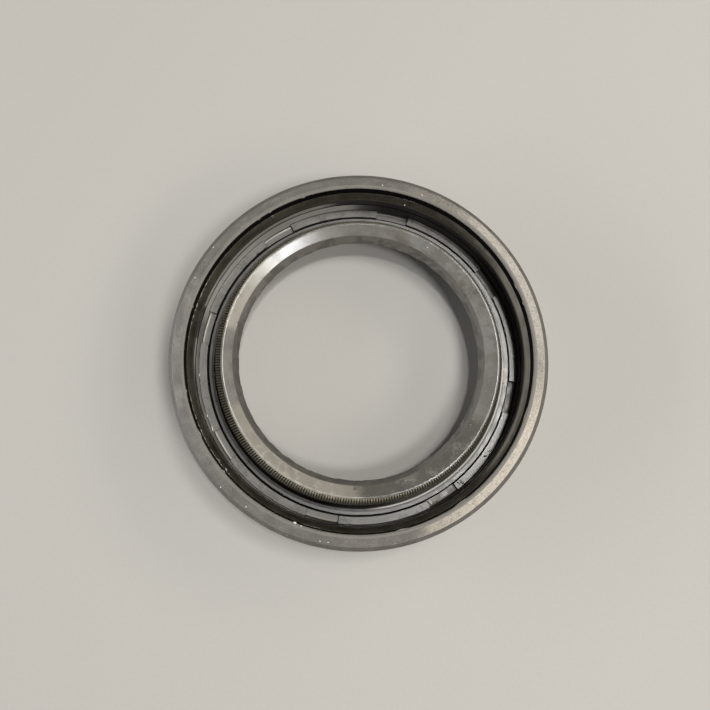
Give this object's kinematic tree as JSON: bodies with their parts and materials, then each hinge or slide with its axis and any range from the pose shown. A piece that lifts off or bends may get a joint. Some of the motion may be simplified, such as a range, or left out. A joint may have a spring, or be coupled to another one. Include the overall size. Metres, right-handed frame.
{
  "type": "radial shaft seal",
  "caption": "Radial shaft seal: rubber-covered steel ring with one sealing lip, a garter spring behind the lip and a windowed ledge inside the rim.",
  "frame": {"origin": "centre of the flat back face, on the seal's axis", "axes": "+Z along the seal's axis, from the back towards the spring side"},
  "size_m": [0.072, 0.072, 0.012],
  "materials": {
    "nitrile_rubber": "moulded, satin, dusty",
    "case_steel": "dark, oxidised, bare steel",
    "spring_steel": "bright drawn wire"
  },
  "bodies": {
    "root": {"rubber_body": "nitrile_rubber", "metal_case": "case_steel", "garter_spring": "spring_steel"}
  },
  "joints": []
}
